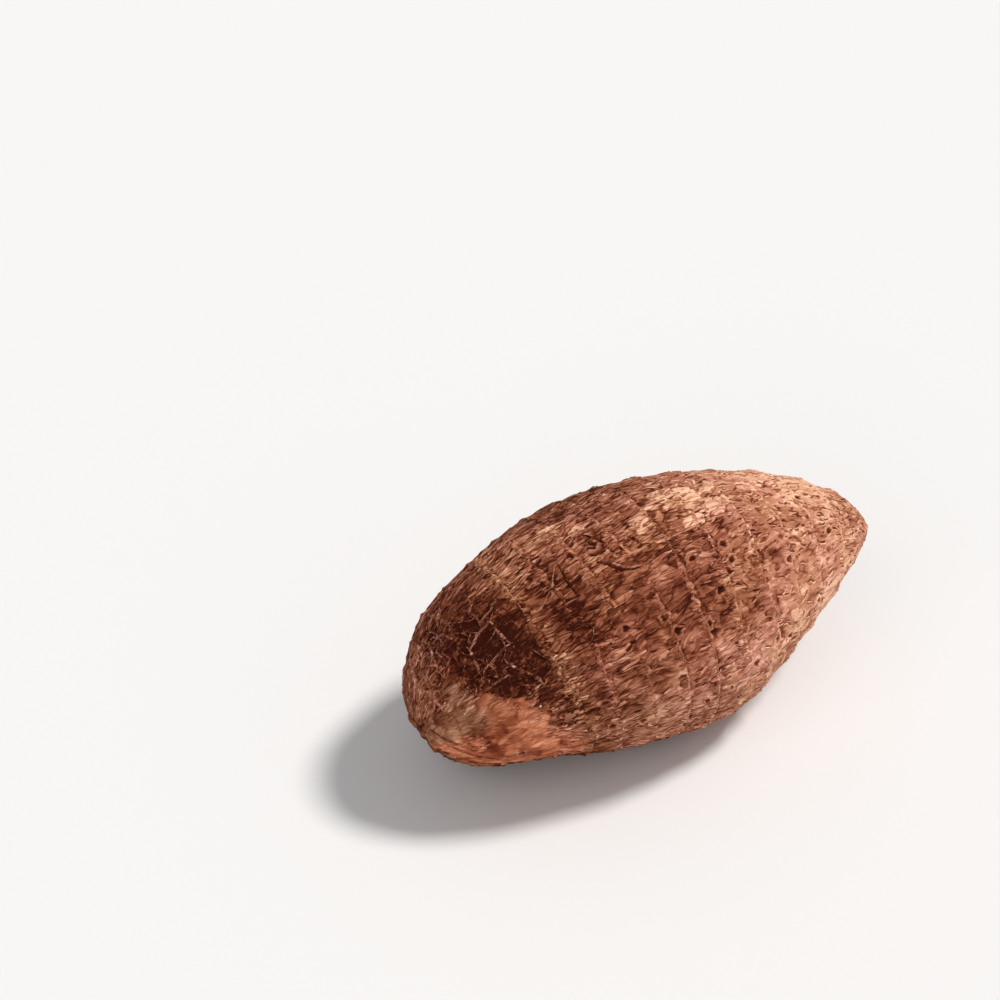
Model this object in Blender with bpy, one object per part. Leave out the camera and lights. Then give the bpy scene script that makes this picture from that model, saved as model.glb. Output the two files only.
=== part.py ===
"""A taro yam tuber (one corm), grown as one piece and lying on its side.

The base end is at -X and the pointed tip at +X. Sections are nearly round, and the axis arches a little.
Rings of old leaf bases go round it. Each ring is a low ledge: the skin rises towards its crest and steps down
past it, on the tip's side. The whole corm is one solid, and it rests on a small flat spot.
"""
import math

import bpy
import numpy as np
from mathutils import Vector, noise

# The body, in metres and degrees. "Along" runs from 0 at the base end to 1 at the tip.
LENGTH = 0.1805
RADIUS = 0.0419          # of the widest section
BASE_EXPONENT = 0.46     # of the radius near the base end: the lower, the blunter
TIP_EXPONENT = 0.77      # of the radius near the tip
HEIGHT_RATIO = 0.977     # a section's height over its width
ARCH = 0.0167            # how far the axis droops at both ends
SIDE_BEND = 0.0013       # how far both ends lean towards +Y
PITCH = 3.4              # how far the tip is raised
FLAT_DEPTH = 0.0015      # how much the flat spot takes off underneath

# Swellings and hollows: along, direction round the axis (0 is +Y, 90 is up), reach along, height.
SWELLINGS = (
    (0.146, 227, 0.163, -0.0073),
    (0.598, 235, 0.195, 0.0072),
    (0.930, 214, 0.100, -0.0008),
    (0.970, 52, 0.100, 0.0031),
    (0.470, 270, 0.300, 0.0023),
)
SWELLING_REACH_ROUND = 52
SWELLING_FADE = 0.012    # sections thinner than this take less of a swelling or a ledge
DENT_HEIGHT = 0.0007     # of the broad unevenness of the whole body
DENT_SIZE = 0.028

# The rings, placed by their distance from the base end along the skin, further apart towards the tip. A band
# runs from one ring to the next.
FIRST_RING = 0.0090
RING_PITCH = 0.0073
PITCH_GROWTH = 0.05      # added to the pitch for each metre along the skin
LEDGE_ROWS = ((0.0, 0.042), (0.14, -0.033), (0.55, -0.008))   # place in a band, height: shares of its pitch
RING_WANDER = 0.0016     # how far a ring strays along the skin
FIBRE_HEIGHT = 0.0003    # of the bundles of fibre along each band
SEGMENTS = 76            # round the axis
TIP_ROW = 0.0035         # how far the last row of points is from the tip

# The round scar at the base end, and the patch low on the -Y side where the skin is rubbed smooth.
SCAR_REACH = 0.0110
SCAR_DEPTH = 0.0012
PATCH_ALONG, PATCH_REACH_ALONG = 0.115, 0.105
PATCH_ROUND, PATCH_REACH_ROUND = 178, 42
PATCH_DEPTH = 0.0005

NOISE_GAIN = 1.6         # brings the noise to about -1 to 1
SEED_GAP = 17

SKIN_COLOUR = (0.235, 0.105, 0.052, 1.0)
SKIN_ROUGHNESS = 0.8


def clear_scene():
    for old in list(bpy.data.objects):
        bpy.data.objects.remove(old, do_unlink=True)


def angle_gap(angle, centre):
    """Signed difference of two directions in radians, between -pi and pi."""
    return (angle - centre + math.pi) % (2 * math.pi) - math.pi


def section_radius(along):
    """Radius of the plain body, widest where the two exponents balance."""
    widest = BASE_EXPONENT / (BASE_EXPONENT + TIP_EXPONENT)
    scale = widest ** BASE_EXPONENT * (1 - widest) ** TIP_EXPONENT
    return RADIUS * along ** BASE_EXPONENT * (1 - along) ** TIP_EXPONENT / scale


def skin_distance_table():
    """Distance from the base end along the plain body's skin, at many places along it."""
    along = 0.5 - 0.5 * np.cos(np.linspace(0, math.pi, 4001))
    steps = np.hypot(np.diff(along) * LENGTH, np.diff(section_radius(along)))
    return along, np.concatenate([[0.0], np.cumsum(steps)])


def ring_distances(skin_length):
    """Where each ring lies along the skin, up to a bud at the tip that is half a pitch long."""
    distances = [FIRST_RING]
    while True:
        pitch = RING_PITCH + PITCH_GROWTH * distances[-1]
        if distances[-1] + 1.5 * pitch > skin_length:
            return distances
        distances.append(distances[-1] + pitch)


def lumps(along, angle, radius):
    """Height of the swellings and hollows."""
    height = np.zeros_like(radius)
    for place, direction, reach_along, amount in SWELLINGS:
        across = angle_gap(angle, math.radians(direction)) / math.radians(SWELLING_REACH_ROUND)
        height += amount * np.exp(-((along - place) / reach_along) ** 2 - across ** 2)
    return height * np.minimum(1, radius / SWELLING_FADE)


def body_points(along, angle):
    """Points on the plain body at these places and directions."""
    bow = 2 * along - 1
    centre = np.stack([(along - 0.5) * LENGTH, SIDE_BEND * bow ** 2, -ARCH * bow ** 2], -1)
    tangent = np.stack([np.full_like(bow, LENGTH), 4 * SIDE_BEND * bow, -4 * ARCH * bow], -1)
    tangent /= np.linalg.norm(tangent, axis=-1, keepdims=True)
    side = np.cross((0.0, 0.0, 1.0), tangent)
    side /= np.linalg.norm(side, axis=-1, keepdims=True)
    up = np.cross(tangent, side)
    radius = section_radius(along)
    radius = (radius + lumps(along, angle, radius))[..., None]
    rim = np.cos(angle)[..., None] * side + HEIGHT_RATIO * np.sin(angle)[..., None] * up
    points = centre + radius * rim
    turn = math.radians(PITCH)
    x = points[..., 0] * math.cos(turn) - points[..., 2] * math.sin(turn)
    z = points[..., 0] * math.sin(turn) + points[..., 2] * math.cos(turn)
    return np.stack([x, points[..., 1], z], -1)


def body_normals(along, angle):
    """Outward directions of the plain body, from its slope along and round."""
    step = 0.0005
    down = body_points(along + step, angle) - body_points(along - step, angle)
    across = body_points(along, angle + step) - body_points(along, angle - step)
    normal = np.cross(across, down)
    return normal / np.linalg.norm(normal, axis=-1, keepdims=True)


def patch_share(along, angle):
    """1 on the rubbed patch, falling to 0 round it."""
    down = (along - PATCH_ALONG) / PATCH_REACH_ALONG
    across = angle_gap(angle, math.radians(PATCH_ROUND)) / math.radians(PATCH_REACH_ROUND)
    return 1 / (1 + np.exp(6 * (np.hypot(down, across) - 0.9)))


def noise_round(rows, angles, turns, seed):
    """Noise between about -1 and 1 for each row and direction, which closes on itself round the axis."""
    ring = [(turns * math.cos(angle), turns * math.sin(angle)) for angle in angles]
    values = [[noise.noise(Vector((x, y, row + SEED_GAP * seed))) for x, y in ring] for row in rows]
    return NOISE_GAIN * np.array(values)


def noise_at(points, size):
    """Noise between about -1 and 1 at each point, with lumps of this size."""
    values = [noise.noise(Vector(point) / size) for point in points.reshape(-1, 3)]
    return NOISE_GAIN * np.array(values).reshape(points.shape[:-1])


def skin_rows():
    """The rows of points from the base end to the tip: three on each band, and one close to each end."""
    table_along, table_skin = skin_distance_table()
    skin_length = table_skin[-1]
    rings = ring_distances(skin_length)
    ends = rings[1:] + [skin_length]
    stations = [(0.5 * FIRST_RING, 0.0, 0.0)]
    for number, (start, end) in enumerate(zip(rings, ends)):
        pitch = end - start
        stations += [(start + share * pitch, height * pitch, number + share) for share, height in LEDGE_ROWS]
    stations.append((skin_length - TIP_ROW, 0.0, len(rings)))
    distance, height, count = np.array(stations).T
    angles = np.arange(SEGMENTS) * 2 * math.pi / SEGMENTS
    angle = np.broadcast_to(angles, (len(stations), SEGMENTS))

    freedom = RING_WANDER * np.sin(math.pi * distance / skin_length)[:, None]
    strayed = distance[:, None] + freedom * noise_round(0.3 * count, angles, 0.9, 1)
    along = np.interp(strayed, table_skin, table_along)
    points = body_points(along, angle)

    ledges = height[:, None] * (0.8 + 0.45 * noise_round(0.73 * np.floor(count), angles, 1.6, 2))
    fibres = FIBRE_HEIGHT * noise_round(2.3 * count, angles, 9.0, 3)
    patch = patch_share(along, angle)
    scar = np.maximum(0, 1 - (distance / SCAR_REACH) ** 2)[:, None] ** 2
    fade = np.minimum(1, section_radius(along) / SWELLING_FADE)
    raised = (ledges + fibres) * fade * (1 - patch) + DENT_HEIGHT * noise_at(points, DENT_SIZE)
    raised -= PATCH_DEPTH * patch + SCAR_DEPTH * scar
    return points + raised[..., None] * body_normals(along, angle)


def make_tuber():
    """The closed skin: the rows of points, with one point at each end."""
    rows = skin_rows()
    ends = body_points(np.array((0.0, 1.0)), np.zeros(2)) + np.array(((SCAR_DEPTH, 0, 0), (0, 0, 0)))
    vertices = np.concatenate([rows.reshape(-1, 3), ends])
    low, high = vertices.min(axis=0), vertices.max(axis=0)
    vertices -= ((low[0] + high[0]) / 2, (low[1] + high[1]) / 2, low[2] + FLAT_DEPTH)

    last_row = (len(rows) - 1) * SEGMENTS
    base_point, tip_point = len(vertices) - 2, len(vertices) - 1
    faces = []
    for j in range(SEGMENTS):
        k = (j + 1) % SEGMENTS
        faces.append((base_point, k, j))
        faces.append((last_row + j, last_row + k, tip_point))
        for row in range(0, last_row, SEGMENTS):
            faces.append((row + j, row + k, row + SEGMENTS + k, row + SEGMENTS + j))
    mesh = bpy.data.meshes.new("tuber")
    mesh.from_pydata(vertices.tolist(), [], faces)
    mesh.update()
    mesh.shade_smooth()
    tuber = bpy.data.objects.new("tuber", mesh)
    bpy.context.collection.objects.link(tuber)
    return tuber


def cut_flat_spot(tuber):
    """Take off what lies below the ground, which leaves the small flat spot that it rests on."""
    bpy.ops.mesh.primitive_cube_add(size=1, location=(0, 0, -0.5 * RADIUS))
    cutter = bpy.context.object
    cutter.scale = (LENGTH, 2 * RADIUS, RADIUS)
    cutter.name = "below_ground"
    cutter.hide_render = True
    cutter.display_type = "WIRE"
    cut = tuber.modifiers.new("flat_spot", "BOOLEAN")
    cut.operation = "DIFFERENCE"
    cut.solver = "EXACT"
    cut.object = cutter


def skin_material():
    material = bpy.data.materials.new("skin")
    material.use_nodes = True
    shader = material.node_tree.nodes["Principled BSDF"]
    shader.inputs["Base Color"].default_value = SKIN_COLOUR
    shader.inputs["Roughness"].default_value = SKIN_ROUGHNESS
    shader.inputs["Metallic"].default_value = 0.0
    return material


def main():
    clear_scene()
    tuber = make_tuber()
    tuber.data.materials.append(skin_material())
    cut_flat_spot(tuber)


main()
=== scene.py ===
"""Looks of a taro yam tuber: its fine ringed skin, the strands of fibre on it and its papery flakes."""
import math

import bpy
import numpy as np
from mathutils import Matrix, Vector, noise


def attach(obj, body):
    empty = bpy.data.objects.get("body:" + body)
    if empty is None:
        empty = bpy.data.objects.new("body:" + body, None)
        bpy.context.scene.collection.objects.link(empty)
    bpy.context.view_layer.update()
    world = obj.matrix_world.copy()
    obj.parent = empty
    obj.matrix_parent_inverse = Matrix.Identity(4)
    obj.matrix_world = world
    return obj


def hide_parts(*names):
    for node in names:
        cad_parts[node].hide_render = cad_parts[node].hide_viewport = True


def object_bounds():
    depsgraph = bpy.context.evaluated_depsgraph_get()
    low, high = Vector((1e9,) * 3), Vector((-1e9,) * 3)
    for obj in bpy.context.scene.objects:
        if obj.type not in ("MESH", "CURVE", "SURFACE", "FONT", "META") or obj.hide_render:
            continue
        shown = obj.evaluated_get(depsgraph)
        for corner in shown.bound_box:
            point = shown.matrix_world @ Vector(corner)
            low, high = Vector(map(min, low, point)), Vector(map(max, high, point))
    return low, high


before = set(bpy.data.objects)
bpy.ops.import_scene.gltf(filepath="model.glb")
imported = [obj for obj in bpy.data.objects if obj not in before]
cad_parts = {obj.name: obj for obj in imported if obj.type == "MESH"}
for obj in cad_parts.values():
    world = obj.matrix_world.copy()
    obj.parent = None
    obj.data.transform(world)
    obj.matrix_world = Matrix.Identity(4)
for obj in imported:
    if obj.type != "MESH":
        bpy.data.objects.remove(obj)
cad_low, cad_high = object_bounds()

MM = 0.001

# The body, as in its solid. Metres and degrees; "along" runs from 0 at the base end to 1 at the tip.
LENGTH = 0.1805
RADIUS = 0.0419
BASE_EXPONENT = 0.46
TIP_EXPONENT = 0.77
HEIGHT_RATIO = 0.977
ARCH = 0.0167
SIDE_BEND = 0.0013
PITCH = 3.4
SWELLINGS = (
    (0.146, 227, 0.163, -0.0073),
    (0.598, 235, 0.195, 0.0072),
    (0.930, 214, 0.100, -0.0008),
    (0.970, 52, 0.100, 0.0031),
    (0.470, 270, 0.300, 0.0023),
)
SWELLING_REACH_ROUND = 52
SWELLING_FADE = 0.012
DENT_HEIGHT = 0.0007
DENT_SIZE = 0.028
FIRST_RING = 0.0090
RING_PITCH = 0.0073
PITCH_GROWTH = 0.05
RING_WANDER = 0.0016
CREST_SHARE, FOOT_SHARE = 0.042, 0.033
FOOT_PLACE = 0.10
SCAR_REACH = 0.0110
SCAR_DEPTH = 0.0012
NOISE_GAIN = 1.6
SEED_GAP = 17

# The fine skin: how many points round it, and where its rows lie in a band.
ROUND = 560
BAND_ROWS = (0, 0.035, 0.08, 0.15, 0.26, 0.39, 0.53, 0.68, 0.83, 0.965)
END_ROWS = 5
WEAVE_RADIUS = 34 * MM    # of the tube that the material's fibres are laid out on
END_OF_FIBRES = 0.206     # distance from the base end where they fade out at the tip
LEDGE_SHARE = 0.4         # of a ledge's height in the solid
LIP_HEIGHT = 0.20 * MM    # of a ring's edge, with the groove just past it
GROOVE_DEPTH = 0.25 * MM
FIBRE_HEIGHT = 0.85 * MM
PLATE_HEIGHT = 0.30 * MM  # of the plates of bark, with cracks between
CRACK_DEPTH = 0.40 * MM
WRINKLE_HEIGHT = 0.35 * MM
PIT_DEPTH = 0.80 * MM     # where a root came out
RUBBED_DEPTH = 0.40 * MM

# The scar at the base end, by distance from its middle: raised rim, uneven edge, dark line round it.
RIM_PLACE, RIM_WIDTH, RIM_HEIGHT = 7.6 * MM, 1.1 * MM, 0.7 * MM
SCAR_EDGE = (6.0 * MM, 8.5 * MM)
DARK_LINE_PLACE, DARK_LINE_WIDTH = 8.6 * MM, 1.2 * MM

# The rubbed patch. It slants, by so many degrees for each unit along from PATCH_ROUND_AT.
PATCH_ALONG, PATCH_REACH_ALONG = 0.088, 0.118
PATCH_ROUND, PATCH_REACH_ROUND = 160, 44
PATCH_ROUND_AT, PATCH_SLANT = 0.07, 270

# Tone of the skin by place along, from 0 (darkest) to 1 (palest). Its rise towards the tip is partly the
# skin's own colour and partly painted light and shade: painted shade at the base end, painted light at the
# tip end.
TONE_ALONG = ((0, 0.40), (0.1, 0.40), (0.3, 0.41), (0.45, 0.42), (0.6, 0.53), (0.8, 0.71), (1, 0.66))
# Lighter and darker areas: along, direction, reach along, reach round, change of tone.
TONE_AREAS = (
    # The first area, dark, is partly the skin's own dark fibres and partly painted shadow.
    (0.155, 112, 0.070, 36, -0.53),
    (0.234, 112, 0.013, 60, 0.20),
    (0.285, 118, 0.026, 45, -0.16),
    (0.600, 85, 0.240, 32, 0.14),
    (0.430, 95, 0.060, 16, 0.03),
    (0.240, 80, 0.080, 22, 0.10),
    (0.045, 95, 0.040, 45, 0.12),
    (0.300, 85, 0.080, 20, 0.05),
    (0.700, 75, 0.080, 30, 0.04),
    (0.650, 190, 0.260, 40, 0.21),
    (0.480, 125, 0.160, 26, -0.050),
    (0.330, 150, 0.080, 20, -0.020),
    (0.380, 188, 0.130, 36, 0.20),
    (0.210, 305, 0.090, 30, -0.20),
    (0.380, 15, 0.070, 26, -0.12),
    (0.520, 262, 0.120, 22, 0.10),
    (0.552, 90, 0.018, 6, 0.22),
    (0.568, 102, 0.014, 5, 0.20),
    (0.535, 104, 0.012, 4, 0.12),
    (0.385, 97, 0.022, 8, -0.10),
    (0.860, 65, 0.070, 28, 0.06),
    (0.760, 94, 0.080, 22, 0.12),
    (0.270, 75, 0.060, 22, 0.05),
)

# Looks of single rings, by number: width of the worn lip, its height, its tone. The others have RING_LOOK.
RING_LOOK = (2.0 * MM, 0.34 * MM, 0.15)
RING_LOOKS = {
    6: (3.0 * MM, 0.50 * MM, 0.15),
    7: (2.2 * MM, 0.42 * MM, 0.12),
    10: (2.0 * MM, 0.42 * MM, 0.18),
}
FAINT_RINGS, FAINT_RINGS_REACH = math.radians(178), 0.55

# Where roots came out on the side in view, as along, direction. Elsewhere they are at random places.
ROOT_SCARS = (
    (0.561, 123), (0.564, 132), (0.498, 124), (0.524, 143), (0.770, 104), (0.811, 135), (0.686, 144),
    (0.480, 155), (0.417, 150), (0.341, 138), (0.282, 164), (0.338, 97), (0.405, 142),
)
RANDOM_SCARS, RANDOM_SCARS_SEED = 120, 51
VIEW_DIRECTION, VIEW_REACH = math.radians(125), 0.9
# A root's crater, from its middle outwards: share of its radius, height in millimetres, change of tone.
CRATER = ((0, 0.02, -0.46), (0.80, 0.03, -0.42), (1.05, 0.24, -0.02), (1.5, 0.32, 0.15), (2.3, -0.12, 0.0))
CRATER_POINTS = 12

# Listed lines, each through places as along, direction. First, pale fibres over the dark area.
LOOSE_FIBRES = (
    ((0.176, 99), (0.177, 107), (0.182, 116)),
    ((0.184, 115), (0.154, 117), (0.121, 119)),
    ((0.130, 102), (0.125, 111), (0.122, 119)),
    ((0.176, 99), (0.152, 100), (0.128, 104)),
    ((0.101, 75), (0.114, 85), (0.126, 95)),
    ((0.209, 92), (0.189, 95), (0.166, 96)),
    ((0.160, 120), (0.167, 125), (0.173, 130)),
    ((0.154, 145), (0.175, 143), (0.193, 141)),
    ((0.194, 141), (0.189, 137), (0.183, 132)),
    ((0.095, 76), (0.083, 88), (0.070, 85)),
    ((0.088, 116), (0.090, 121), (0.093, 127)),
    ((0.140, 66), (0.128, 72), (0.115, 76)),
    ((0.222, 131), (0.228, 138), (0.222, 143)),
    ((0.222, 142), (0.245, 144), (0.268, 144)),
)
# Low ridges: wrinkles, and the edge of the ring next to the rubbed patch.
RIDGES = (
    ((0.408, 119), (0.439, 118), (0.474, 117)),
    ((0.331, 104), (0.352, 106), (0.371, 105)),
    ((0.404, 126), (0.420, 124), (0.438, 124)),
    ((0.219, 116), (0.221, 128), (0.224, 140), (0.228, 151)),
    ((0.233, 146), (0.233, 153), (0.234, 160)),
    ((0.285, 141), (0.285, 146), (0.288, 152)),
)
# Dark cracks, then thinner ones.
CRACKS = (
    ((0.366, 106), (0.376, 110), (0.388, 115), (0.412, 118)),
    ((0.366, 95), (0.376, 94), (0.382, 98), (0.374, 100), (0.366, 97)),
    ((0.508, 112), (0.540, 112), (0.578, 111)),
)
FINE_CRACKS = (
    (
        (0.352, 92), (0.362, 88), (0.380, 89), (0.392, 94),
        (0.396, 101), (0.384, 105), (0.368, 103), (0.357, 98),
    ),
    ((0.424, 102), (0.434, 103), (0.438, 109), (0.428, 109)),
    ((0.316, 97), (0.311, 104), (0.308, 110), (0.311, 116)),
)
# Broad, faint streaks on the rubbed patch.
STREAKS = (
    ((0.014, 124), (0.022, 145), (0.039, 158), (0.050, 167)),
    ((0.022, 155), (0.030, 164), (0.048, 176), (0.080, 186)),
)

# Scales of old skin, as along, direction: cream, papery ones, and small ones where the rubbed patch ends.
PAPER_FLAKES = (
    (0.542, 88), (0.552, 94), (0.592, 89), (0.577, 103), (0.533, 106), (0.502, 92), (0.454, 99),
    (0.520, 84), (0.560, 99),
)
EDGE_FLAKES = (
    (0.177, 176), (0.189, 191), (0.204, 173), (0.197, 165), (0.059, 162), (0.055, 156), (0.083, 129),
    (0.119, 138), (0.138, 147), (0.158, 155), (0.189, 157), (0.222, 151), (0.233, 157), (0.212, 166),
    (0.200, 181), (0.184, 184), (0.195, 172), (0.052, 120), (0.070, 122), (0.171, 168), (0.292, 146),
    (0.305, 149), (0.318, 147), (0.330, 151), (0.300, 140), (0.226, 136), (0.229, 146),
)

# Areas as along, direction, reach along, reach round: old buds in wrinkles, smoother skin with few strands,
# pinker skin with fainter marks, skin with a net in place of long fibres, more olive skin, and dark and light
# spots on the rubbed patch.
BUDS = ((0.430, 105, 0.030, 11), (0.373, 97, 0.034, 13), (0.640, 300, 0.030, 12), (0.470, 20, 0.030, 11))
CALM_AREAS = (
    (0.395, 101, 0.045, 15), (0.556, 93, 0.040, 15), (0.990, 90, 0.120, 400), (0.780, 60, 0.060, 30),
)
SOFT_AREAS = ((0.680, 178, 0.240, 44), (0.400, 165, 0.150, 40), (0.420, 130, 0.080, 16))
NET_AREAS = ((0.150, 112, 0.075, 38), (0.080, 90, 0.050, 45))
OLIVE_AREAS = ((0.545, 94, 0.050, 13),)
OLIVE_BAND, OLIVE_BAND_REACH = 0.230, 0.014
DARK_SPOTS = ((0.074, 158, 0.011, 13), (0.100, 128, 0.012, 6))
LIGHT_SPOTS = ((0.118, 146, 0.022, 8), (0.020, 160, 0.030, 25))

# The strips laid on the skin: where their four points lie across them, and the change of tone at each. The
# darker outer two are painted shade where a strip sinks into the skin.
ACROSS = (-0.5, -0.2, 0.2, 0.5)
ACROSS_SHADE = (-0.14, 0.0, 0.0, -0.14)

# Colours by tone, and the casts that multiply them.
TONES = (
    (0.00, (0.040, 0.0065, 0.0025)),
    (0.25, (0.125, 0.0275, 0.0110)),
    (0.50, (0.290, 0.096, 0.049)),
    (0.75, (0.545, 0.238, 0.146)),
    (1.00, (0.880, 0.530, 0.355)),
)
OLIVE, ROSE = (0.99, 1.03, 0.94), (1.01, 0.98, 1.04)
PATCH_OLIVE, PATCH_ORANGE = (0.95, 1.08, 1.08), (1.16, 0.94, 0.80)
PALE_FIBRE = (0.97, 1.15, 1.40)
SKIN_ROUGHNESS = 0.82
SKIN_SHINE = 0.05
BUMP_STRENGTH, BUMP_HEIGHT = 0.8, 0.6 * MM

FLOOR_SIZE = 60
FLOOR_GREY = 0.80
SKY_HEIGHTS, SKY_FADED = (0.06, 0.36), 0.32   # from where to where the horizon's light fades, and to what
CAMERA_AZIMUTH, CAMERA_ELEVATION = -32.1, 38.4
CAMERA_DISTANCE = 0.9
CAMERA_LENS = 97.1
CAMERA_AIM = Vector((-0.0316, 0.0458, 0.0678))


def angle_gap(angle, centre):
    """Signed difference of two directions in radians, between -pi and pi."""
    return (angle - centre + math.pi) % (2 * math.pi) - math.pi


def smooth(x):
    x = np.clip(x, 0, 1)
    return x * x * (3 - 2 * x)


def ramp(x, low, high):
    """0 where x is low, 1 where it is high, with a smooth rise between."""
    return smooth((x - low) / (high - low))


# From here to noise_at, the functions give the body and its noise as the solid has them.
def section_radius(along):
    widest = BASE_EXPONENT / (BASE_EXPONENT + TIP_EXPONENT)
    scale = widest ** BASE_EXPONENT * (1 - widest) ** TIP_EXPONENT
    return RADIUS * along ** BASE_EXPONENT * (1 - along) ** TIP_EXPONENT / scale


def skin_distance_table():
    """Distance from the base end along the skin, at many places along."""
    along = 0.5 - 0.5 * np.cos(np.linspace(0, math.pi, 4001))
    steps = np.hypot(np.diff(along) * LENGTH, np.diff(section_radius(along)))
    return along, np.concatenate([[0.0], np.cumsum(steps)])


def ring_distances(skin_length):
    """Where each ring lies along the skin."""
    distances = [FIRST_RING]
    while True:
        pitch = RING_PITCH + PITCH_GROWTH * distances[-1]
        if distances[-1] + 1.5 * pitch > skin_length:
            return distances
        distances.append(distances[-1] + pitch)


def lumps(along, angle, radius):
    height = np.zeros_like(radius)
    for place, direction, reach_along, amount in SWELLINGS:
        across = angle_gap(angle, math.radians(direction)) / math.radians(SWELLING_REACH_ROUND)
        height += amount * np.exp(-((along - place) / reach_along) ** 2 - across ** 2)
    return height * np.minimum(1, radius / SWELLING_FADE)


def body_points(along, angle):
    """Points on the plain body."""
    bow = 2 * along - 1
    centre = np.stack([(along - 0.5) * LENGTH, SIDE_BEND * bow ** 2, -ARCH * bow ** 2], -1)
    tangent = np.stack([np.full_like(bow, LENGTH), 4 * SIDE_BEND * bow, -4 * ARCH * bow], -1)
    tangent /= np.linalg.norm(tangent, axis=-1, keepdims=True)
    side = np.cross((0.0, 0.0, 1.0), tangent)
    side /= np.linalg.norm(side, axis=-1, keepdims=True)
    up = np.cross(tangent, side)
    radius = section_radius(along)
    radius = (radius + lumps(along, angle, radius))[..., None]
    rim = np.cos(angle)[..., None] * side + HEIGHT_RATIO * np.sin(angle)[..., None] * up
    points = centre + radius * rim
    turn = math.radians(PITCH)
    x = points[..., 0] * math.cos(turn) - points[..., 2] * math.sin(turn)
    z = points[..., 0] * math.sin(turn) + points[..., 2] * math.cos(turn)
    return np.stack([x, points[..., 1], z], -1)


def body_normals(along, angle):
    """Outward directions of the plain body."""
    step = 0.0005
    before, after = np.maximum(along - step, 1e-6), np.minimum(along + step, 1 - 1e-6)
    down = body_points(after, angle) - body_points(before, angle)
    across = body_points(along, angle + step) - body_points(along, angle - step)
    normal = np.cross(across, down)
    return normal / np.linalg.norm(normal, axis=-1, keepdims=True)


def noise_round(rows, angles, turns, seed):
    """Noise between about -1 and 1, which closes on itself round the axis."""
    ring = [(turns * math.cos(angle), turns * math.sin(angle)) for angle in angles]
    values = [[noise.noise(Vector((x, y, row + SEED_GAP * seed))) for x, y in ring] for row in rows]
    return NOISE_GAIN * np.array(values)


def noise_at(points, size):
    """Noise between about -1 and 1, with lumps of this size."""
    values = [noise.noise(Vector(point) / size) for point in points.reshape(-1, 3)]
    return NOISE_GAIN * np.array(values).reshape(points.shape[:-1])


def hashed(*keys):
    """A number between 0 and 1 for each set of whole numbers, mixed as the SplitMix64 generator does it."""
    mixed = np.uint64(0x9E3779B97F4A7C15)
    with np.errstate(over="ignore"):
        for key in keys:
            mixed = mixed ^ np.asarray(key).astype(np.int64).astype(np.uint64)
            mixed = (mixed ^ (mixed >> np.uint64(30))) * np.uint64(0xBF58476D1CE4E5B9)
            mixed = (mixed ^ (mixed >> np.uint64(27))) * np.uint64(0x94D049BB133111EB)
            mixed = mixed ^ (mixed >> np.uint64(31))
    return (mixed >> np.uint64(11)).astype(float) / 2 ** 53


def cloud(places, seed):
    """Smooth noise between 0 and 1 at each place, with lumps one unit wide."""
    corner = np.floor(places)
    share = smooth(places - corner)
    total = np.zeros(places.shape[:-1])
    for step in np.ndindex(2, 2, 2):
        weight = np.prod(np.where(step, share, 1 - share), axis=-1)
        total += weight * hashed(*np.moveaxis(corner + step, -1, 0), seed)
    return total


def cells(places, seed):
    """Distance to the border of the cell that each place is in, and a random number for the cell."""
    corner = np.floor(places)
    near = np.full(places.shape[:-1], 9.0)
    second = near.copy()
    owner = np.zeros_like(near)
    for step in np.ndindex(3, 3, 3):
        box = corner + np.array(step) - 1
        keys = np.moveaxis(box, -1, 0)
        heart = box + np.stack([hashed(*keys, seed + axis) for axis in range(3)], -1)
        distance = np.linalg.norm(places - heart, axis=-1)
        closer = distance < near
        second = np.where(closer, near, np.minimum(second, distance))
        owner = np.where(closer, hashed(*keys, seed + 3), owner)
        near = np.minimum(near, distance)
    return second - near, owner


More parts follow.
